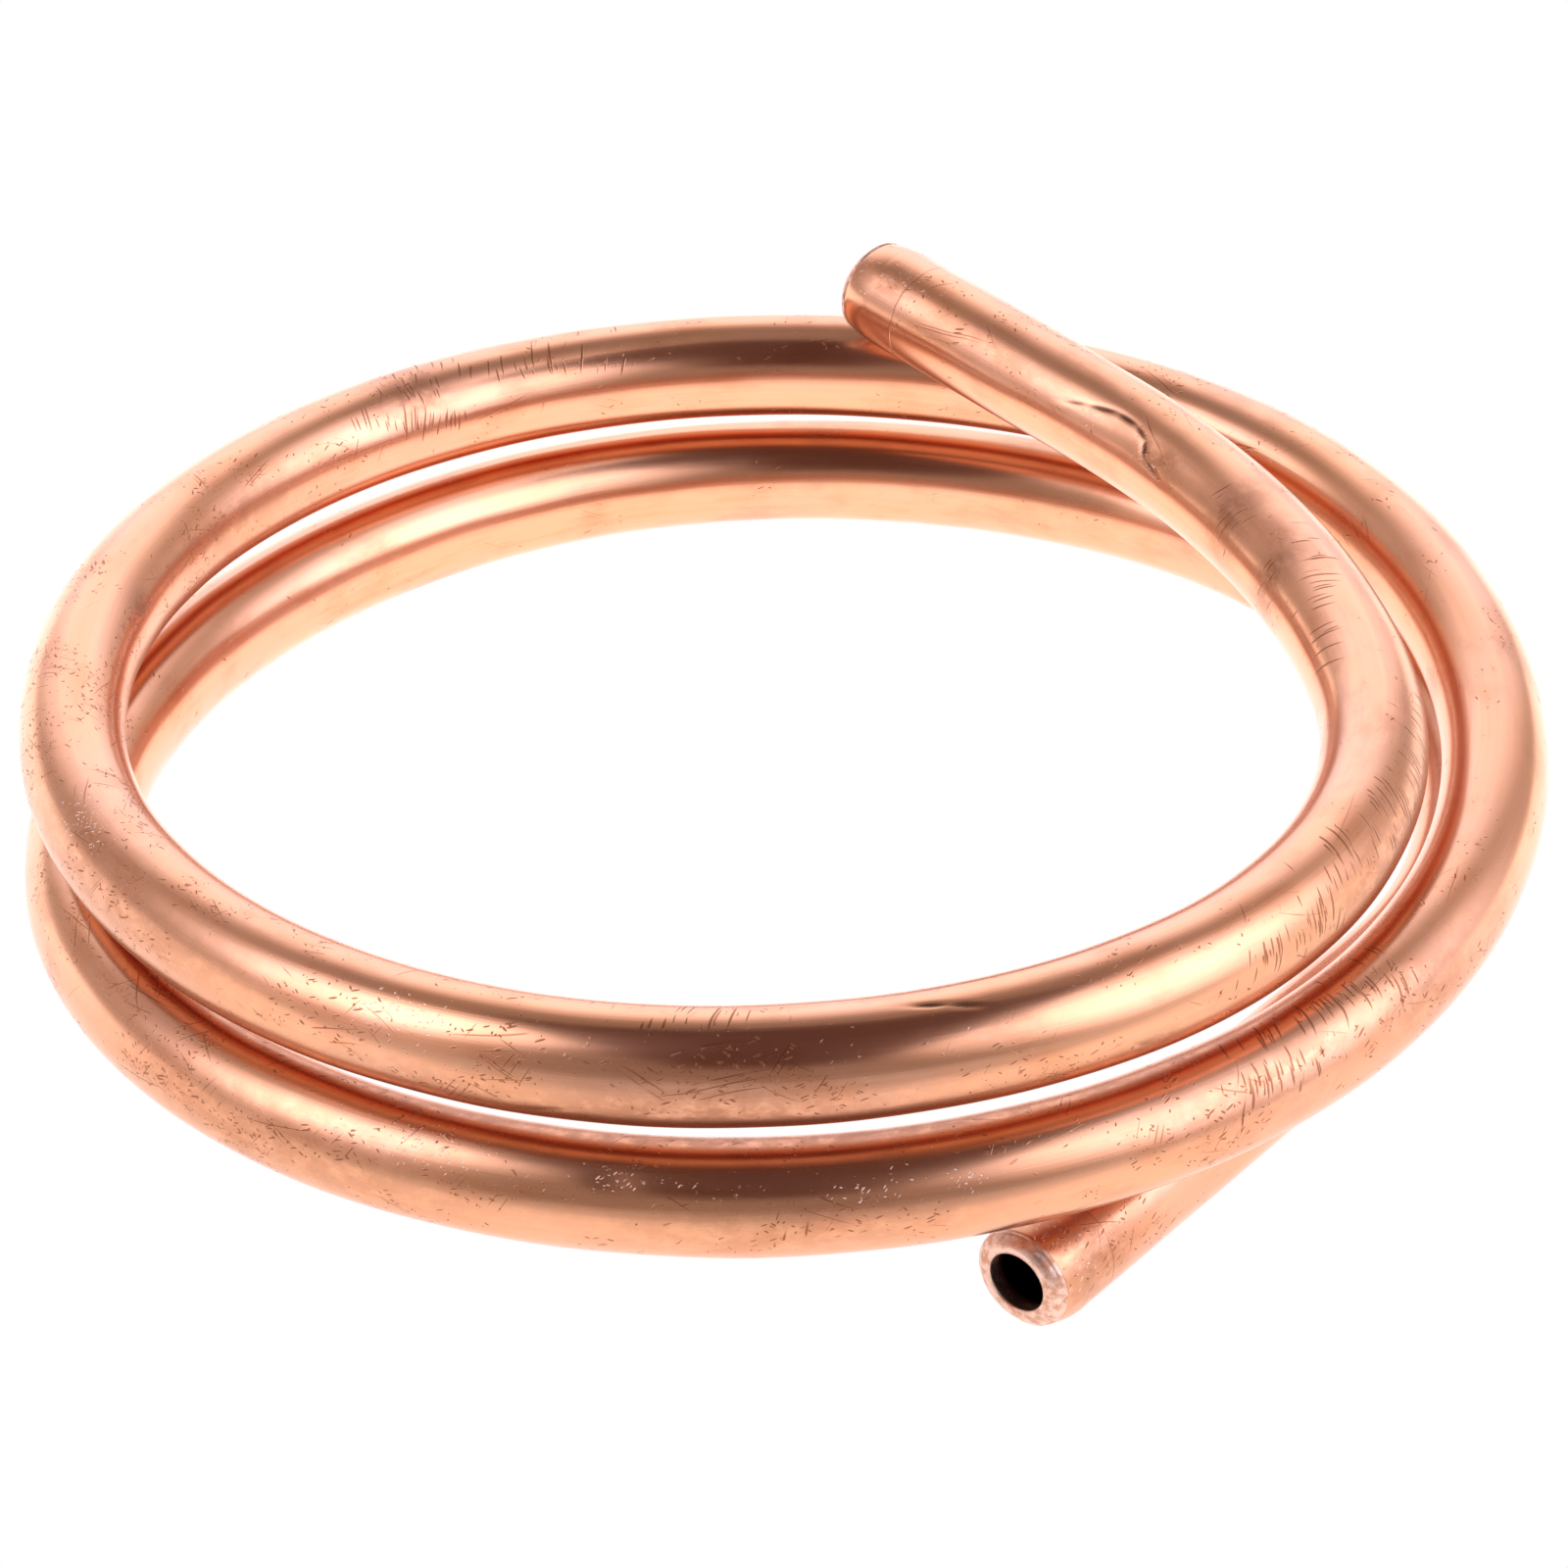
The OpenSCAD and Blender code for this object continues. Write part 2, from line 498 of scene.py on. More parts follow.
@dataclass(frozen=True)
class Handling:
    """The faint waves, dents and creases that coiling and handling leave in the wall.

    lengths and heights are the least and most of a wave, in mm and as a share of depth,
    and a wave has fewer than lobes swells round the tube. The depths are in mm.
    """

    seed: int = 11
    waves: int = 26
    lengths: Pair = (9.0, 60.0)
    heights: Pair = (0.4, 1.0)
    lobes: int = 4
    depth: float = 0.009
    dent_depth: float = 0.10
    crease_depth: float = 0.10

    def relief(self, s: Array, angle: Array, radius: float) -> Array:
        """Height of the outer skin above a true tube, in mm.

        Args:
            s: lengths along the tube, in mm.
            angle: angles round the tube, in radians.
            radius: the tube's radius, in mm.

        Returns:
            Heights, below 0 in a dent.
        """
        rng = np.random.default_rng(self.seed)
        total = np.zeros(np.broadcast(s, angle).shape)
        for _ in range(self.waves):
            length = rng.uniform(*self.lengths)
            lobes = int(rng.integers(0, self.lobes))
            shift, tilt = rng.uniform(0.0, math.tau, 2)
            height = self.depth * rng.uniform(*self.heights)
            total += height * np.cos(math.tau * s / length + shift) * np.cos(lobes * angle + tilt)
        total -= self.dent_depth * painted(DENTS, s, angle, radius)
        total -= self.crease_depth * painted(CREASES, s, angle, radius)
        return total


# ---------------------------------------------------------------- mesh of the tube


Rows = list[Triple]


@dataclass(frozen=True)
class CutEnd:
    """A mouth left by a tube cutter: sizes in mm, depth counted in from the mouth.

    Its rings are rows of depth, radius and lift, which moves a ring off the tube's centre
    towards the top. upturned and burr are pairs of depth and radius counted from the
    face's edge and from the mouth. fullness and dish bend the shoulder and the face, and
    bulge swells the face. In the lip, the mouth keeps its radius down to the share
    settled, and that share of its lift.
    """

    mouth: float = 2.8
    face: float = 3.3
    edge: float = 4.6
    edge_back: float = 1.0
    roll_over: float = 0.3
    shoulder: float = 3.0
    lip: float = 1.6
    taper: float = 1.8
    edge_lift: float = 0.0
    mouth_lift: float = 0.0
    fullness: float = 0.8
    dish: float = 1.25
    bulge: float = 0.10
    settled: float = 0.8
    upturned: tuple[Pair, ...] = (
        (0.22, -0.07), (0.14, -0.06), (0.06, 0.01), (-0.03, -0.01), (-0.12, -0.12))
    burr: tuple[Pair, ...] = (
        (-0.02, 0.38), (0.02, 0.14), (-0.05, 0.05), (0.0, -0.03), (0.14, -0.06), (0.40, 0.0))

    @property
    def reach(self) -> float:
        """Depth at which the sound tube starts."""
        return self.edge_back + self.roll_over + self.shoulder

    def outside(self, radius: float) -> Rows:
        """Rounds the shoulder.

        Args:
            radius: the tube's outer radius.

        Returns:
            Rows from the sound tube to the face's edge.
        """
        rows = []
        for part in np.linspace(1.0, 0.0, 15):
            ease = math.sin(part * math.pi / 2) ** self.fullness
            depth = self.edge_back + self.roll_over + self.shoulder * part
            rows.append((depth, self.edge + (radius - self.edge) * ease,
                         self.edge_lift * (1 - ease)))
        return rows

    def face_rings(self) -> Rows:
        """Shapes the cut face.

        Returns:
            Rows from its upturned edge to the burr inside the mouth.
        """
        rows = [(self.edge_back + back, self.edge + step, self.edge_lift)
                for back, step in self.upturned]
        depth, radius, _ = rows[-1]
        for part in np.linspace(0.12, 1.0, 9):
            lift = self.edge_lift + (self.mouth_lift - self.edge_lift) * part
            bulge = self.bulge * math.sin(part * math.pi)
            rows.append((depth * (1 - part) ** self.dish,
                         radius + (self.face - radius) * part + bulge, lift))
        rows += [(back, self.mouth + step, self.mouth_lift) for back, step in self.burr]
        return rows + [(self.lip * self.settled, self.mouth, self.mouth_lift * self.settled)]

    def inside(self, bore: float) -> Rows:
        """Widens the lip.

        Args:
            bore: the radius of the full bore.

        Returns:
            Rows from the lip back to the full bore.
        """
        rows = []
        for part in np.linspace(0.0, 1.0, 6):
            radius = self.mouth + (bore - self.mouth) * part * part * (3 - 2 * part)
            lift = self.mouth_lift * self.settled * (1 - part)
            rows.append((self.lip + self.taper * part, radius, lift))
        return rows


@dataclass(frozen=True)
class Ring:
    """One ring of vertices: where it lies along the tube, its size and its surface.

    A worn ring takes its radius from the tube's worn outside instead of its own.
    """

    s: float
    radius: float
    lift: float
    skin: Skin
    worn: bool = False


@dataclass
class TubeBuilder:
    """Sweeps one stretch of the line as a closed wall of tube.

    Sizes are in mm. A bend is flattened: flat_side is its radius across the bend and
    flat_top its radius the other way. ring_gap and bore_gap space the rings outside and
    inside, and finest limits how a stretch's fineness multiplies the columns.
    """

    line: TubeLine
    radius: float = 5.0
    wall: float = 1.0
    columns: int = 96
    finest: float = 1.5
    ring_gap: float = 0.6
    bore_gap: float = 2.5
    flat_side: float = 4.78
    flat_top: float = 5.05
    handling: Handling = Handling()
    upper: CutEnd = CutEnd()
    lower: CutEnd = CutEnd(mouth=2.8, edge=4.5, edge_lift=0.4, mouth_lift=0.75)

    def _outer(self, s: Array, angle: Array) -> Array:
        """Works out the worn outside.

        Args:
            s: the rings' lengths along the tube, as a column.
            angle: the columns' angles round it, as a row.

        Returns:
            The radius at each ring and column, with the flattening and the relief.
        """
        inward = self.line.at(np.unwrap(self.line.inward), s[:, 0])[:, None]
        bent = self.line.at(self.line.bent, s[:, 0])[:, None]
        side = self.radius + (self.flat_side - self.radius) * bent
        top = self.radius + (self.flat_top - self.radius) * bent
        turn = angle - inward
        oval = 1 / np.sqrt((np.cos(turn) / side) ** 2 + (np.sin(turn) / top) ** 2)
        return oval + self.handling.relief(s, angle, self.radius)

    def _rings(self, begin: float, stretch: Stretch) -> list[Ring]:
        """Lists a stretch's rings.

        Args:
            begin: where the stretch starts along the tube, in mm.
            stretch: the stretch.

        Returns:
            The rings out along the skin, over the lower mouth, back up the bore and out
            over the upper mouth, where the stretch has them.
        """
        end = begin + stretch.run
        first, last = begin <= 0.0, end >= self.line.total - SLIVER
        skin_from, skin_to, rings = begin, end, []
        if first:
            skin_from += self.upper.reach
        if last:
            skin_to -= self.lower.reach
        count = max(2, math.ceil((skin_to - skin_from) * stretch.fineness / self.ring_gap))
        rings += [Ring(s, self.radius, 0.0, Skin.OUTSIDE, worn=True)
                  for s in np.linspace(skin_from, skin_to, count + 1)]
        bore = self.radius - self.wall
        bore_from, bore_to = begin, end
        if last:
            rings += self._mouth(self.lower, lambda depth: end - depth)[1:]
            bore_to -= self.lower.lip + self.lower.taper
        if first:
            bore_from += self.upper.lip + self.upper.taper
        count = max(2, math.ceil((bore_to - bore_from) / self.bore_gap))
        back = [Ring(s, bore, 0.0, Skin.BORE)
                for s in np.linspace(bore_to, bore_from, count + 1)]
        rings += back[1:] if last else back
        if first:
            opening = self._mouth(self.upper, lambda depth: begin + depth)
            rings += opening[::-1][1:-1]
        return rings

    def _mouth(self, cut: CutEnd, place: Callable[[float], float]) -> list[Ring]:
        """Places a mouth's rings.

        Args:
            cut: the mouth.
            place: turns a depth into a length along the tube.

        Returns:
            The rings from the sound skin round the face and into the bore.
        """
        parts = ((Skin.OUTSIDE, cut.outside(self.radius)), (Skin.FACE, cut.face_rings()),
                 (Skin.BORE, cut.inside(self.radius - self.wall)))
        return [Ring(place(depth), radius, lift, skin)
                for skin, rows in parts for depth, radius, lift in rows]

    def build(self, begin: float, stretch: Stretch) -> bpy.types.Object:
        """Makes the mesh object of one stretch.

        Args:
            begin: where the stretch starts along the tube, in mm.
            stretch: the stretch to sweep.

        Returns:
            The new object, linked to the scene.
        """
        rings = self._rings(begin, stretch)
        columns = int(self.columns * min(stretch.fineness, self.finest))
        s = np.array([ring.s for ring in rings])[:, None]
        angle = (np.arange(columns) * math.tau / columns)[None, :]
        radius = np.array([ring.radius for ring in rings])[:, None] * np.ones_like(angle)
        worn = np.array([ring.worn for ring in rings])
        radius[worn] = self._outer(s[worn], angle)
        lift = np.array([ring.lift for ring in rings])[:, None]
        high, wide = radius * np.cos(angle) + lift, radius * np.sin(angle)
        centre, up, out = (self.line.at(values, s[:, 0])[:, None] for values in (
            self.line.centre, self.line.up, self.line.out))
        points = (centre + high[..., None] * up + wide[..., None] * out).reshape(-1, 3) * MM
        mesh = self._mesh(stretch.name, points, columns, rings)
        along = np.broadcast_to(s, radius.shape)
        unrolled = np.stack([along, high, wide], axis=-1).reshape(-1, 3)
        self._carry(mesh, Layer.UNROLLED, unrolled)
        for layer, marks in ((Layer.PITTING, PITTED), (Layer.STAIN_AND_SHADE, STAINS_AND_SHADE), (Layer.TICKS, TICKS),
                             (Layer.CREASE, CREASES), (Layer.NICKS, NICKS)):
            self._carry(mesh, layer, painted(marks, s, angle, self.radius).reshape(-1))
        piece = bpy.data.objects.new(f"{stretch.name}_tube", mesh)
        bpy.context.collection.objects.link(piece)
        return piece

    @staticmethod
    def _mesh(name: str, points: Array, columns: int,
              rings: Sequence[Ring]) -> bpy.types.Mesh:
        """Joins the rings in order, and the last back to the first.

        Args:
            name: the mesh's name.
            points: the vertices, ring by ring, in metres.
            columns: how many vertices a ring has.
            rings: the rings.

        Returns:
            The closed mesh.
        """
        rows = len(rings)
        row = np.arange(rows)[:, None]
        column = np.arange(columns)[None, :]
        nrow, ncol = (row + 1) % rows, (column + 1) % columns
        quads = np.stack([row * columns + column, row * columns + ncol,
                          nrow * columns + ncol, nrow * columns + column], axis=-1)
        mesh = bpy.data.meshes.new(name)
        mesh.from_pydata(points.tolist(), [], quads.reshape(-1, 4).tolist())
        skins = np.array([max(ring.skin, rings[(number + 1) % rows].skin)
                          for number, ring in enumerate(rings)], dtype=np.int32)
        mesh.polygons.foreach_set("material_index", np.repeat(skins, columns))
        mesh.validate()
        mesh.shade_smooth()
        mesh.set_sharp_from_angle(angle=math.radians(SHARP_ANGLE))
        return mesh

    @staticmethod
    def _carry(mesh: bpy.types.Mesh, layer: Layer, values: Array) -> None:
        """Stores a value for each vertex.

        Args:
            mesh: the mesh that carries it.
            layer: the name it goes under.
            values: one number or vector for each vertex.
        """
        vector = values.ndim == 2
        kind = "FLOAT_VECTOR" if vector else "FLOAT"
        store = mesh.attributes.new(layer.value, kind, "POINT")
        store.data.foreach_set("vector" if vector else "value", values.astype(np.float32).ravel())


# ---------------------------------------------------------------- shader graph


@dataclass(frozen=True)
class Wire:
    """A node's output that takes part in sums; each sign adds a Math node."""

    graph: "Graph"
    socket: bpy.types.NodeSocket | None

    def _math(self, operation: str, *values: "Wire | float") -> "Wire":
        """Adds one Math node over the values."""
        return self.graph.add("Math", {"operation": operation}, dict(enumerate(values)))

    def __add__(self, other: "Wire | float") -> "Wire":
        """self + other."""
        return self._math("ADD", self, other)

    __radd__ = __add__

    def __sub__(self, other: "Wire | float") -> "Wire":
        """self - other."""
        return self._math("SUBTRACT", self, other)

    def __rsub__(self, other: float) -> "Wire":
        """other - self."""
        return self._math("SUBTRACT", other, self)

    def __mul__(self, other: "Wire | float") -> "Wire":
        """self * other."""
        return self._math("MULTIPLY", self, other)

    __rmul__ = __mul__

    def highest(self, other: "Wire | float") -> "Wire":
        """The larger of the two."""
        return self._math("MAXIMUM", self, other)

    def lowest(self, other: "Wire | float") -> "Wire":
        """The smaller of the two."""
        return self._math("MINIMUM", self, other)

    def size(self) -> "Wire":
        """The value without its sign."""
        return self._math("ABSOLUTE", self)

    def beside(self, output: str) -> "Wire":
        """Another output of the same node."""
        return Wire(self.graph, self.socket.node.outputs[output])

    def between(self, low: "Wire | float", high: "Wire | float") -> "Wire":
        """Steps smoothly up.

        Args:
            low: the value up to which the result is 0.
            high: the value from which the result is 1.

        Returns:
            The smooth step.
        """
        return self.graph.add(
            "MapRange", {"interpolation_type": "SMOOTHSTEP", "clamp": True},
            {"Value": self, "From Min": low, "From Max": high, "To Min": 0.0, "To Max": 1.0})


class Graph:
    """A shader tree that is written as Python expressions."""

    def __init__(self, tree: bpy.types.NodeTree) -> None:
        """Starts on an emptied tree."""
        self.tree = tree
        self.tree.nodes.clear()

    def add(self, kind: str, settings: Mapping[str, object] | None = None,
            inputs: Mapping[str | int, object] | None = None,
            output: str | int = 0) -> Wire:
        """Adds one node.

        Args:
            kind: the node's type without its ShaderNode prefix.
            settings: properties, set first.
            inputs: values or wires by socket name or number.
            output: the output to hand back.

        Returns:
            The chosen output.
        """
        node = self.tree.nodes.new(f"ShaderNode{kind}")
        for name, value in (settings or {}).items():
            setattr(node, name, value)
        for name, value in (inputs or {}).items():
            socket = node.inputs[name]
            if isinstance(value, Wire):
                self.tree.links.new(value.socket, socket)
            elif isinstance(value, tuple) and socket.type == "RGBA":
                socket.default_value = (*value, 1.0)
            else:
                socket.default_value = value
        return Wire(self, node.outputs[output] if node.outputs else None)

    def layer(self, layer: Layer) -> Wire:
        """Reads a value that the mesh carries."""
        output = "Vector" if layer is Layer.UNROLLED else "Fac"
        return self.add("Attribute", {"attribute_name": layer.value}, {}, output)

    def stretched(self, vector: Wire, scale: Triple, shift: Triple = (0, 0, 0)) -> Wire:
        """A vector scaled along each axis, then moved."""
        return self.add("VectorMath", {"operation": "MULTIPLY_ADD"},
                        {0: vector, 1: Vector(scale), 2: Vector(shift)})

    def noise(self, vector: Wire, detail: float = 2.0, roughness: float = 0.5) -> Wire:
        """A noise from 0 to 1 that changes over about one unit of the vector."""
        return self.add("TexNoise", {"noise_dimensions": "3D"}, {
            "Vector": vector, "Scale": 1.0, "Detail": detail, "Roughness": roughness})

    def blend(self, amount: Wire | float, low: Wire | Colour, high: Wire | Colour) -> Wire:
        """Mixes two colours."""
        return self.add("Mix", {"data_type": "RGBA"},
                        {"Factor": amount, "A": low, "B": high}, "Result")

    def away(self, place: Wire) -> Wire:
        """Distance from the tube's centre line, in mm."""
        flat = self.stretched(place, (0.0, 1.0, 1.0))
        return self.add("VectorMath", {"operation": "LENGTH"}, {0: flat}, "Value")

    def metal(self, skin: Wire, rough: Wire, height: Wire, bump: Pair,
              metallic: float = 1.0) -> None:
        """Ends a material's tree in bare metal.

        Args:
            skin: its colour.
            rough: its roughness.
            height: the height that the bump follows, 1 for a full bump.
            bump: the bump's strength, and its full height in metres.
            metallic: how metallic it is.
        """
        strength, full = bump
        normal = self.add("Bump", {}, {"Strength": strength, "Distance": full, "Height": height})
        shader = self.add("BsdfPrincipled", {}, {
            "Base Color": skin, "Metallic": metallic, "Roughness": rough, "Normal": normal})
        self.add("OutputMaterial", {}, {"Surface": shader})


def blank(name: str) -> tuple[bpy.types.Material, Graph]:
    """Starts a material.

    Args:
        name: the material's name.

    Returns:
        The material, and its emptied tree as a graph.
    """
    material = bpy.data.materials.new(name)
    material.use_nodes = True
    return material, Graph(material.node_tree)


# ---------------------------------------------------------------- finishes


@dataclass(frozen=True)
class Dashes:
    """A scatter of short strokes over the skin.

    apart and beside are the spacings along and across a stroke in mm, lean is its slant
    from the tube's length in degrees, fill is the share of the spacings it reaches, shift
    moves the whole scatter on, and mess is how far the strokes stray from even rows. The
    smallest stroke reaches the share least of fill, and core is the share of a stroke
    that is solid. edge is the spread of chances over which a stroke fades in.
    """

    apart: float
    beside: float
    lean: float
    fill: float = 0.30
    shift: float = 0.0
    mess: float = 1.0
    least: float = 0.4
    core: float = 0.55
    edge: float = 0.05

    def build(self, graph: Graph, spot: tuple[Wire, Wire], chance: Wire) -> Wire:
        """Draws the strokes.

        Args:
            graph: the shader tree.
            spot: length along the tube and distance round it, in mm.
            chance: the share of the strokes that are there.

        Returns:
            1 on a stroke and 0 off it.
        """
        along, about = spot
        turn = math.radians(self.lean)
        run = along * (math.cos(turn) / self.apart) + about * (math.sin(turn) / self.apart)
        side = about * (math.cos(turn) / self.beside) - along * (math.sin(turn) / self.beside)
        cell = graph.add("CombineXYZ", {}, {"X": run + self.shift, "Y": side})
        near = graph.add("TexVoronoi", {"voronoi_dimensions": "2D", "feature": "F1"},
                         {"Vector": cell, "Scale": 1.0, "Randomness": self.mess})
        lot = graph.add("SeparateColor", {}, {"Color": near.beside("Color")}, "Red")
        reach = lot.beside("Green") * (self.fill * (1 - self.least)) + self.fill * self.least
        stroke = 1.0 - near.between(reach * self.core, reach)
        return stroke * lot.between(1.0 - chance, (1.0 + self.edge) - chance)


@dataclass(frozen=True)
class Odds:
    """The share of strokes that are there: everywhere, and what is added elsewhere.

    rubbed is added where the skin is rubbed, worn in the worn clouds, and both where a
    cloud lies on a rubbed patch.
    """

    everywhere: float
    rubbed: float = 0.0
    worn: float = 0.0
    both: float = 0.0

    def share(self, rubbed: Wire, worn: Wire) -> Wire:
        """The share at each point."""
        return worn * (rubbed * self.both + self.worn) + rubbed * self.rubbed + self.everywhere


@dataclass(frozen=True)
class Trace:
    """What one kind of mark does to the skin.

    tint is its colour and cover its strength, rough is added to the roughness and rise to
    the height that the bump follows.
    """

    tint: Colour
    cover: float
    rough: float = 0.0
    rise: float = 0.0


def scattered(graph: Graph, scatters: Sequence[Dashes], spot: tuple[Wire, Wire],
              chance: Wire) -> Wire:
    """Lays scatters of strokes over each other.

    Args:
        graph: the shader tree.
        scatters: the scatters.
        spot: length along the tube and distance round it, in mm.
        chance: the share of the strokes that are there.

    Returns:
        1 on a stroke of any scatter and 0 off them.
    """
    total, *others = [scatter.build(graph, spot, chance) for scatter in scatters]
    for other in others:
        total = total.highest(other)
    return total


BROWN: Colour = (0.24, 0.075, 0.03)
# The near-black of the painted shade in the creases.
SHADE_BLACK: Colour = (0.05, 0.018, 0.012)
RAW: Colour = (1.0, 0.78, 0.68)


@dataclass(frozen=True)
class BareCopper:
    """Drawn soft copper: bright, finely lined along its length, pitted, with brown stains,
    painted shade in its creases and a band of painted dark reflection under the first front pass.

    scribes are the lengths along the tube (mm) of the rings scored round it, scribe_edge
    the distances from a ring's middle over which it fades, and radius the tube's.
    """

    name: str = "bare_copper"
    bright: Colour = (0.93, 0.445, 0.25)
    rosy: Colour = (0.91, 0.45, 0.28)
    deep: Colour = (0.76, 0.29, 0.14)
    sheen: float = 0.19
    line_rough: float = 0.07
    line_rise: float = 0.70
    line_tint: float = 1.1
    cloud_tint: float = 0.5
    bump: Pair = (0.55, 0.00002)
    radius: float = 5.0
    wander: Pair = (2.4, 1.6)
    scribes: Pair = (8.0, 953.4)
    scribe_edge: Pair = (0.05, 0.13)
    pits: tuple[Dashes, ...] = (
        Dashes(1.9, 0.40, 22.0, 0.30), Dashes(1.3, 0.42, -36.0, 0.28, 40.0),
        Dashes(0.8, 0.50, 70.0, 0.24, 80.0))
    scores: tuple[Dashes, ...] = (
        Dashes(16.0, 0.30, 12.0, 0.34, 7.0), Dashes(10.0, 0.28, -27.0, 0.34, 70.0),
        Dashes(6.0, 0.26, 58.0, 0.34, 90.0))
    combs: tuple[Dashes, ...] = (
        Dashes(7.5, 0.48, 74.0, 0.35, 15.0, 0.7), Dashes(4.5, 0.50, 80.0, 0.30, 55.0, 0.9))
    nicks: tuple[Dashes, ...] = (
        Dashes(0.90, 0.22, 50.0, 0.32, 21.0), Dashes(0.55, 0.26, -20.0, 0.30, 33.0))
    pit_odds: Odds = Odds(0.005, rubbed=0.035, worn=0.05, both=0.34)
    score_odds: Odds = Odds(0.004, rubbed=0.03, worn=0.03, both=0.12)
    comb_odds: float = 0.90
    nick_odds: Pair = (0.55, 0.002)
    # Brown over the stains, and over the painted shade under the first front pass.
    tarnish_and_shade: Trace = Trace(BROWN, 0.70, rough=0.16)
    scored: Trace = Trace(BROWN, 0.62, rise=-0.4)
    combed: Trace = Trace(BROWN, 0.75, rough=0.1, rise=-0.6)
    pitted: Trace = Trace(BROWN, 0.70, rough=0.2, rise=-0.8)
    scribed: Trace = Trace(BROWN, 0.4, rise=-1.2)
    nicked: Trace = Trace(RAW, 0.85, rough=0.35, rise=0.8)
    # Painted shade: the near-black line along each crease.
    crease_shade_trace: Trace = Trace(SHADE_BLACK, 0.9)

    def build(self) -> bpy.types.Material:
        """Makes the finish.

        Returns:
            The material.
        """
        material, graph = blank(self.name)
        place = graph.layer(Layer.UNROLLED)
        cloud = graph.noise(graph.stretched(place, (0.11, 0.22, 0.22), (7, 3, 1)), 3.0)
        lines = self._lines(graph, place)
        hue = graph.noise(graph.stretched(place, (0.05, 0.12, 0.12)), 3.0)
        skin = graph.blend(hue.between(0.35, 0.65), self.bright, self.rosy)
        dull = cloud.between(0.46, 0.74) * self.cloud_tint + (0.5 - lines) * self.line_tint
        skin = graph.blend(dull, skin, self.deep)
        rough = lines * self.line_rough + self.sheen
        height = lines * self.line_rise
        for mark, trace in self._marks(graph, place, cloud):
            skin = graph.blend(mark * trace.cover, skin, trace.tint)
            if trace.rough:
                rough = rough + mark * trace.rough
            if trace.rise:
                height = height + mark * trace.rise
        graph.metal(skin, rough, height, self.bump)
        return material

    def _marks(self, graph: Graph, place: Wire, cloud: Wire) -> list[tuple[Wire, Trace]]:
        """Draws every kind of mark.

        Args:
            graph: the shader tree.
            place: the unrolled place on the tube.
            cloud: a broad noise that says where the skin is worn.

        Returns:
            The marks and what they do, in the order in which they lie on each other.
        """
        spot = self._around(graph, place)
        worn = cloud.between(0.45, 0.62)
        rubbed = graph.layer(Layer.PITTING)
        some, few = self.nick_odds
        nicks = graph.layer(Layer.NICKS) * some + few
        combs = graph.layer(Layer.TICKS) * self.comb_odds
        scores, pits = self.score_odds.share(rubbed, worn), self.pit_odds.share(rubbed, worn)
        return [
            # Stains, and the painted shade under the first front pass.
            (self._stain_and_shade(graph, place), self.tarnish_and_shade),
            (scattered(graph, self.scores, spot, scores), self.scored),
            (scattered(graph, self.combs, spot, combs), self.combed),
            (scattered(graph, self.pits, spot, pits), self.pitted),
            (self._scribed(graph, place), self.scribed),
            (scattered(graph, self.nicks, spot, nicks), self.nicked),
            # Painted shade: the creases drawn near-black.
            (graph.layer(Layer.CREASE).between(0.25, 0.9), self.crease_shade_trace),
        ]

    def _scribed(self, graph: Graph, place: Wire) -> Wire:
        """Scores a faint ring round the tube near each end.

        Args:
            graph: the shader tree.
            place: the unrolled place on the tube.

        Returns:
            1 on a ring and 0 off it.
        """
        along = graph.add("SeparateXYZ", {}, {0: place}, "X")
        upper, lower = self.scribes
        gap = (along - upper).size().lowest((along - lower).size())
        broken = graph.noise(graph.stretched(place, (0.0, 0.35, 0.35), (2, 2, 2)))
        return (1.0 - gap.between(*self.scribe_edge)) * broken.between(0.30, 0.50)

    def _lines(self, graph: Graph, place: Wire) -> Wire:
        """Draws the fine lines that the drawing die leaves along the tube.

        Args:
            graph: the shader tree.
            place: the unrolled place on the tube.

        Returns:
            Their tone, from 0 to 1.
        """
        coarse = graph.noise(graph.stretched(place, (0.02, 1.6, 1.6)), 3.0, 0.6)
        fine = graph.noise(graph.stretched(place, (0.10, 7.0, 7.0), (3, 0, 0)), 2.0, 0.6)
        return coarse * 0.5 + fine * 0.5

    def _around(self, graph: Graph, place: Wire) -> tuple[Wire, Wire]:
        """Finds where the strokes are drawn, which wanders a little so that they bend.

        Args:
            graph: the shader tree.
            place: the unrolled place on the tube.

        Returns:
            Length along the tube and distance round it from the top, both in mm.
        """
        along = graph.add("SeparateXYZ", {}, {0: place}, "X")
        turn = graph.add("Math", {"operation": "ARCTAN2"},
                         {0: along.beside("Z"), 1: along.beside("Y")})
        stray = graph.noise(graph.stretched(place, (0.13, 0.16, 0.16)), 1.0)
        by_length, by_round = self.wander
        return along + stray * by_length, turn * self.radius + stray * by_round

    def _stain_and_shade(self, graph: Graph, place: Wire) -> Wire:
        """Spreads brown tarnish and painted shade: patches from the table, all stains save for
        the painted shade and dark reflection under the first front pass, and a thin scatter of
        tarnish everywhere.

        Args:
            graph: the shader tree.
            place: the unrolled place on the tube.

        Returns:
            The tarnish and painted shade, from 0 to 1.
        """
        marks = graph.layer(Layer.STAIN_AND_SHADE)
        broken = graph.noise(graph.stretched(place, (0.55, 0.75, 0.75)), 5.0, 0.65)
        cloud = graph.noise(graph.stretched(place, (0.08, 0.16, 0.16), (5, 9, 2)), 5.0, 0.6)
        thin = cloud.between(0.50, 0.76) * 0.40
        return (marks * (broken.between(0.30, 0.62) * 0.6 + 0.4)).highest(thin)


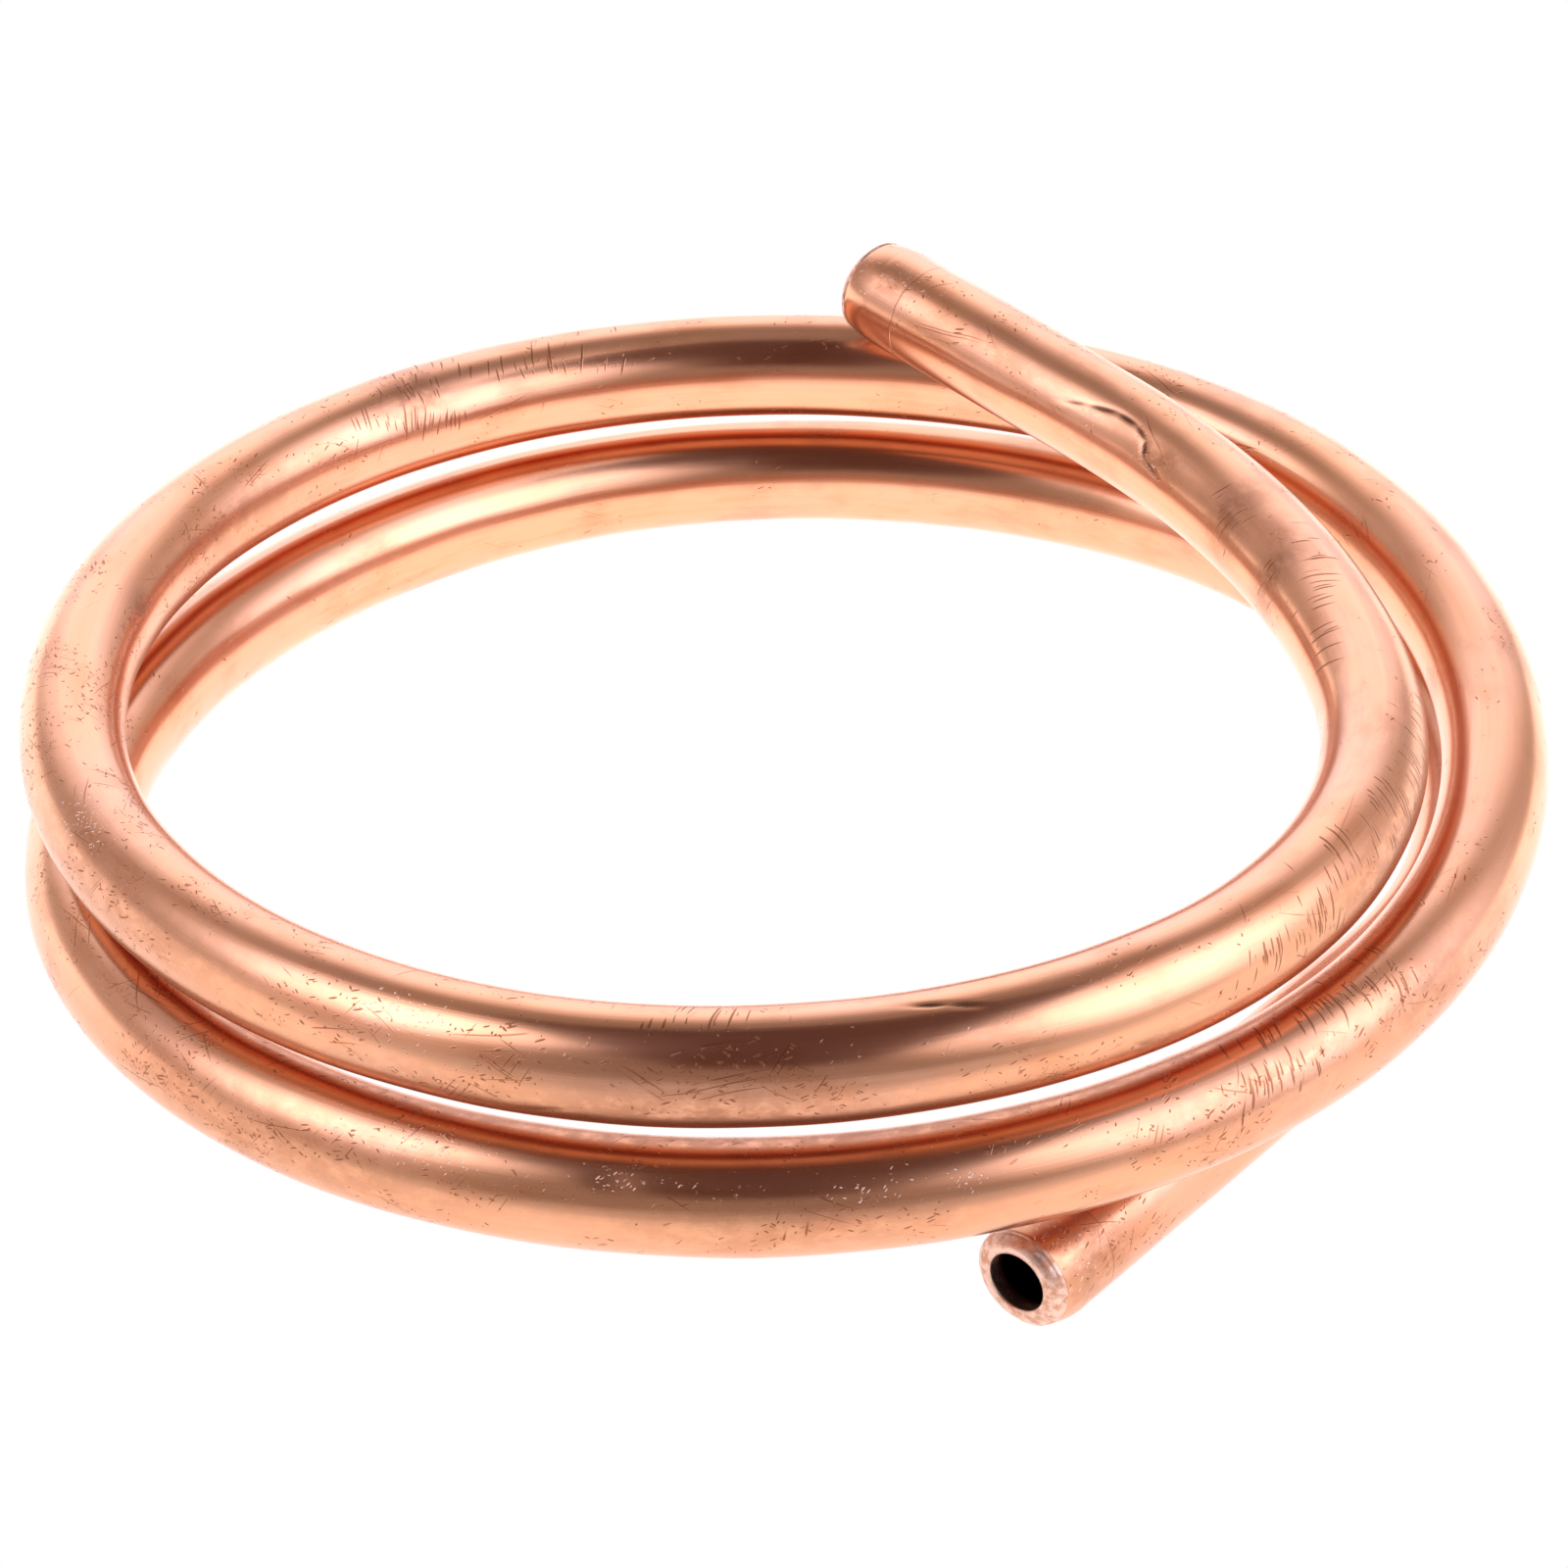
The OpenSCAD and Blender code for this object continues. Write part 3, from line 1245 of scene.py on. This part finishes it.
@dataclass(frozen=True)
class CutCopper:
    """The wheel-cut face and lip: pink bare metal, turned lines and oily brown smears.

    turns is how many lines the cutter leaves in 1 mm. The lines, smears and specks each
    cover the pink by their own share.
    """

    name: str = "cut_copper_face"
    pink: Colour = (0.93, 0.62, 0.50)
    smear: Colour = (0.62, 0.28, 0.15)
    sheen: float = 0.30
    turns: float = 9.0
    line_cover: float = 0.3
    smear_cover: float = 0.7
    speck_cover: float = 0.45
    bump: Pair = (0.8, 0.00005)

    def build(self) -> bpy.types.Material:
        """Makes the finish.

        Returns:
            The material.
        """
        material, graph = blank(self.name)
        place = graph.layer(Layer.UNROLLED)
        ring = graph.add("CombineXYZ", {}, {"X": graph.away(place) * self.turns})
        turned = graph.noise(ring, 3.0, 0.7)
        grime = graph.noise(graph.stretched(place, (0.8, 0.8, 0.8), (3, 3, 3)), 4.0, 0.6)
        dirty = grime.between(0.44, 0.62)
        speck = graph.noise(graph.stretched(place, (4.0, 4.0, 4.0))).between(0.60, 0.72)
        cover = dirty * self.smear_cover + turned.between(0.42, 0.70) * self.line_cover
        face = graph.blend(cover, self.pink, self.smear)
        face = graph.blend(speck * self.speck_cover, face, self.smear)
        rough = turned * 0.12 + dirty * 0.14 + self.sheen
        graph.metal(face, rough, turned - speck * 0.5, self.bump)
        return material


@dataclass(frozen=True)
class BoreCopper:
    """The skin inside the tube: dull brown at the mouth's lip, and near-black painted shade
    further in.

    It darkens from rim to deep between the two radii given below, in mm.
    """

    name: str = "bore_copper"
    rim: Colour = (0.16, 0.045, 0.025)
    # Near-black: painted shade deep in the bore.
    deep: Colour = (0.020, 0.008, 0.006)
    bore_shade_fall: Pair = (2.9, 3.5)
    sheen: float = 0.38
    metallic: float = 0.8
    bump: Pair = (0.4, 0.00005)

    def build(self) -> bpy.types.Material:
        """Makes the finish.

        Returns:
            The material.
        """
        material, graph = blank(self.name)
        place = graph.layer(Layer.UNROLLED)
        cloud = graph.noise(graph.stretched(place, (0.4, 0.4, 0.4)), 4.0, 0.6)
        # Painted shade: darker further into the bore.
        inner = (graph.away(place) + cloud * 0.5).between(*self.bore_shade_fall)
        skin = graph.blend(inner, self.rim, self.deep)
        graph.metal(skin, cloud * 0.3 + self.sheen, cloud, self.bump, self.metallic)
        return material


# ---------------------------------------------------------------- the coil


@dataclass
class Coil:
    """The whole tube, made stretch by stretch."""

    builder: TubeBuilder
    pieces: dict[str, bpy.types.Object] = field(default_factory=dict)

    def build(self) -> None:
        """Makes every stretch and ties it to the frame."""
        begin = 0.0
        for stretch in self.builder.line.stretches:
            piece = self.builder.build(begin, stretch)
            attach(piece, BODY)
            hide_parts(stretch.name)
            self.pieces[stretch.name] = piece
            begin += stretch.run
            LOG.info("%s: %d faces, %.1f mm of tube", piece.name, len(piece.data.polygons),
                     stretch.run)

    def dress(self) -> None:
        """Gives every stretch the finishes of its surfaces."""
        finishes = {Skin.OUTSIDE: BareCopper(), Skin.FACE: CutCopper(), Skin.BORE: BoreCopper()}
        materials = [finishes[skin].build() for skin in Skin]
        for piece in self.pieces.values():
            for material in materials:
                piece.data.materials.append(material)


# ---------------------------------------------------------------- studio


WHITE: Colour = (1.0, 1.0, 1.0)


def heading(azimuth: float, elevation: float) -> Vector:
    """Works out a direction.

    Args:
        azimuth: degrees clockwise from +Y, seen from above.
        elevation: degrees above the floor.

    Returns:
        The unit vector that way.
    """
    turn, rise = math.radians(azimuth), math.radians(elevation)
    return Vector((math.sin(turn) * math.cos(rise), math.cos(turn) * math.cos(rise),
                   math.sin(rise)))


def card(name: str, middle: Triple,
         half: Pair) -> bpy.types.Object:
    """Lays a level rectangle.

    Args:
        name: the name of the mesh and of the object.
        middle: the rectangle's middle, in metres.
        half: its half spans along X and Y, in metres.

    Returns:
        The new object, linked to the scene.
    """
    mesh = bpy.data.meshes.new(name)
    around = [(-1, -1), (1, -1), (1, 1), (-1, 1)]
    mesh.from_pydata([(middle[0] + x * half[0], middle[1] + y * half[1], middle[2])
                      for x, y in around], [], [(0, 1, 2, 3)])
    piece = bpy.data.objects.new(name, mesh)
    bpy.context.collection.objects.link(piece)
    return piece


@dataclass(frozen=True)
class SoftBox:
    """A rectangular lamp that faces the coil.

    azimuth is clockwise from +Y seen from above, elevation is above the floor, wide and
    tall are the angles it covers, all in degrees. glow is its brightness beside white and
    distance how far it hangs from the coil, in metres.
    """

    name: str
    azimuth: float
    elevation: float
    wide: float
    tall: float
    glow: float
    distance: float = 1.1

    def build(self, target: Vector) -> None:
        """Hangs the lamp.

        Args:
            target: the point that it faces.
        """
        away = heading(self.azimuth, self.elevation)
        lamp = bpy.data.lights.new(self.name, "AREA")
        lamp.shape = "RECTANGLE"
        lamp.size = 2 * self.distance * math.tan(math.radians(self.wide / 2))
        lamp.size_y = 2 * self.distance * math.tan(math.radians(self.tall / 2))
        lamp.energy = math.pi * lamp.size * lamp.size_y * self.glow
        holder = bpy.data.objects.new(self.name, lamp)
        holder.location = target + away * self.distance
        holder.rotation_mode = "QUATERNION"
        holder.rotation_quaternion = away.to_track_quat("Z", "Y")
        holder.visible_camera = False
        bpy.context.collection.objects.link(holder)
        LOG.info("%s: %.2f by %.2f m", self.name, lamp.size, lamp.size_y)


@dataclass(frozen=True)
class SecondLook:
    """Dims what a reflection of a reflection sees.

    It starts past the number of bounces and is down to the share faded a soft step on.
    """

    bounces: float
    faded: float
    soft: float = 0.2

    def build(self, graph: Graph) -> Wire:
        """1 at first sight and in a first reflection, and faded after that."""
        depth = graph.add("LightPath", {}, {}, "Ray Depth")
        return 1.0 - depth.between(self.bounces, self.bounces + self.soft) * (1.0 - self.faded)


@dataclass(frozen=True)
class LightTable:
    """A pale, softly lit floor, which the copper sees as dim in front and bright behind.

    near and far are the places along Y, in metres, over which the front's glow turns into
    the middle's, and the middle's into the back's. seen is how bright the floor looks.
    """

    half: float = 6.0
    drop: float = 0.0002
    paint: Colour = (0.55, 0.55, 0.55)
    front: float = 0.28
    middle: float = 0.92
    back: float = 1.25
    near: Pair = (-0.155, -0.085)
    far: Pair = (-0.05, 0.05)
    seen: float = 1.0
    second: SecondLook = SecondLook(1.4, 0.45)

    def build(self, height: float) -> None:
        """Lays the floor.

        Args:
            height: the height of the coil's lowest point, in metres.
        """
        floor = card("floor", (0.0, 0.0, height - self.drop), (self.half, self.half))
        material, graph = blank("pale_floor")
        place = graph.add("TexCoord", {}, {}, "Object")
        deep = graph.add("SeparateXYZ", {}, {0: place}, "Y")
        glow = deep.between(*self.near) * (self.middle - self.front) + self.front
        glow = deep.between(*self.far) * (self.back - self.middle) + glow
        coat = graph.add("BsdfPrincipled", {}, {
            "Base Color": self.paint, "Roughness": 0.7, "Specular IOR Level": 0.2})
        lit = graph.add("Emission", {}, {
            "Color": WHITE, "Strength": glow * self.second.build(graph)})
        shader = graph.add("AddShader", {}, {0: coat, 1: lit})
        white = graph.add("Emission", {}, {"Color": WHITE, "Strength": self.seen})
        eye = graph.add("LightPath", {}, {}, "Is Camera Ray")
        mixed = graph.add("MixShader", {}, {0: eye, 1: shader, 2: white})
        graph.add("OutputMaterial", {}, {"Surface": mixed})
        material.cycles.emission_sampling = "NONE"
        floor.data.materials.append(material)


@dataclass(frozen=True)
class Flag:
    """A dark cloth over the front of the coil, which only the copper's shine meets.

    The middle and the half spans are in metres.
    """

    middle: Triple = (0.0, -0.32, 0.34)
    half: Pair = (0.17, 0.35)
    cloth: Colour = (1.0, 0.49, 0.40)
    glow: float = 0.085

    def build(self) -> None:
        """Hangs the cloth."""
        flag = card("flag", self.middle, self.half)
        material, graph = blank("flag_cloth")
        dark = graph.add("Emission", {}, {"Color": self.cloth, "Strength": self.glow})
        graph.add("OutputMaterial", {}, {"Surface": dark})
        material.cycles.emission_sampling = "NONE"
        flag.data.materials.append(material)
        flag.visible_camera = flag.visible_diffuse = flag.visible_shadow = False


@dataclass(frozen=True)
class Glow:
    """A bright area of the tent's cloth that fades from inner to outer degrees."""

    azimuth: float
    elevation: float
    inner: float
    outer: float
    level: float

    def weigh(self, graph: Graph, way: Wire) -> Wire:
        """Works out its brightness.

        Args:
            graph: the world's tree.
            way: the way into the tent.

        Returns:
            Its brightness that way.
        """
        axis = heading(self.azimuth, self.elevation)
        near = graph.add("VectorMath", {"operation": "DOT_PRODUCT"}, {0: way, 1: axis}, "Value")
        far, close = math.cos(math.radians(self.outer)), math.cos(math.radians(self.inner))
        return near.between(far, close) * self.level


@dataclass(frozen=True)
class Surround:
    """The cloth tent beyond the lamps, lit from the sides and behind, dark in front.

    Its tone goes from shade at the base brightness to cloth at the full brightness. seen
    is how bright the tent looks.
    """

    base: float = 0.32
    full: float = 1.5
    shade: Colour = (1.0, 0.88, 0.84)
    cloth: Colour = (0.96, 1.0, 1.20)
    glows: tuple[Glow, ...] = (
        Glow(108.0, 38.0, 8.0, 46.0, 1.50),
        Glow(95.0, 12.0, 5.0, 44.0, 0.65),
        Glow(-102.0, 42.0, 4.0, 30.0, 2.05),
        Glow(-112.0, 12.0, 4.0, 32.0, 0.45),
        Glow(-2.0, 18.0, 12.0, 44.0, 1.00),
        Glow(52.0, 20.0, 10.0, 44.0, 0.25),
        Glow(-58.0, 15.0, 10.0, 44.0, 0.20),
    )
    seen: float = 1.0
    second: SecondLook = SecondLook(2.4, 0.50)

    def build(self) -> None:
        """Makes the world."""
        world = bpy.data.worlds.new("studio")
        world.use_nodes = True
        graph = Graph(world.node_tree)
        way = graph.add("TexCoord", {}, {}, "Generated")
        level = self.base
        for glow in self.glows:
            level = glow.weigh(graph, way) + level
        eye = graph.add("LightPath", {}, {}, "Is Camera Ray")
        level = level * self.second.build(graph)
        tone = graph.blend(level.between(self.base, self.full), self.shade, self.cloth)
        tone = graph.blend(eye, tone, WHITE)
        level = level + eye * (self.seen - level)
        backdrop = graph.add("Background", {}, {"Color": tone, "Strength": level})
        graph.add("OutputWorld", {}, {"Surface": backdrop})
        bpy.context.scene.world = world


@dataclass(frozen=True)
class Studio:
    """The lamps, the floor, the surround and the camera.

    eye is the camera's place in mm. tilt is how far it looks down and cant how far it
    leans over, in degrees. lens and sensor are in mm, and clip in metres.
    """

    lamps: tuple[SoftBox, ...] = (
        SoftBox("right_softbox", 110.0, 38.0, 40.0, 30.0, 0.45),
        SoftBox("left_softbox", -106.0, 44.0, 20.0, 26.0, 0.60),
        SoftBox("back_softbox", -2.0, 25.0, 40.0, 30.0, 0.25),
    )
    eye: Triple = (-8.88, -451.65, 330.64)
    tilt: float = 35.278
    cant: float = 1.118
    lens: float = 139.06
    sensor: float = 36.0
    shift: Pair = (0.0628, 0.0033)
    clip: Pair = (0.01, 50.0)

    def build(self, low: Vector, high: Vector) -> None:
        """Sets the studio round the coil.

        Args:
            low: the lowest corner of the coil's box.
            high: its highest corner.
        """
        for lamp in self.lamps:
            lamp.build((low + high) / 2)
        LightTable().build(low.z)
        Flag().build()
        Surround().build()
        self._camera()
        bpy.context.scene.view_settings.view_transform = "Standard"

    def _camera(self) -> None:
        """Stands the camera in front of the coil, above it."""
        data = bpy.data.cameras.new("camera")
        data.sensor_width = self.sensor
        data.lens = self.lens
        data.shift_x, data.shift_y = self.shift
        data.clip_start, data.clip_end = self.clip
        data.dof.use_dof = False
        camera = bpy.data.objects.new("camera", data)
        turn = Matrix.Rotation(math.radians(90.0 - self.tilt), 4, "X")
        turn = turn @ Matrix.Rotation(math.radians(self.cant), 4, "Z")
        camera.matrix_world = Matrix.Translation(Vector(self.eye) * MM) @ turn
        bpy.context.collection.objects.link(camera)
        bpy.context.scene.camera = camera


# ---------------------------------------------------------------- the whole scene


def mouth(name: str) -> tuple[Vector, Vector]:
    """Finds a mouth of the tube.

    Args:
        name: its mount in the record.

    Returns:
        The mouth's centre and the way into the tube.
    """
    mount = next(m for m in frame["record"]["mounts"] if m["name"] == name)
    away = Vector(mount["axis"]).normalized()
    half = mount["dims"]["length_mm"] * MM / 2
    return Vector(mount["pos_m"]) + away * half, -away


def main() -> None:
    """Builds the coil and its studio."""
    logging.basicConfig(level=logging.INFO, format="%(name)s %(message)s")
    coil = Coil(TubeBuilder(TubeLine(STRETCHES, *mouth("upper_mouth"))))
    coil.build()
    coil.dress()
    Studio().build(*CAD_BOX)


if __name__ == "__main__":
    main()
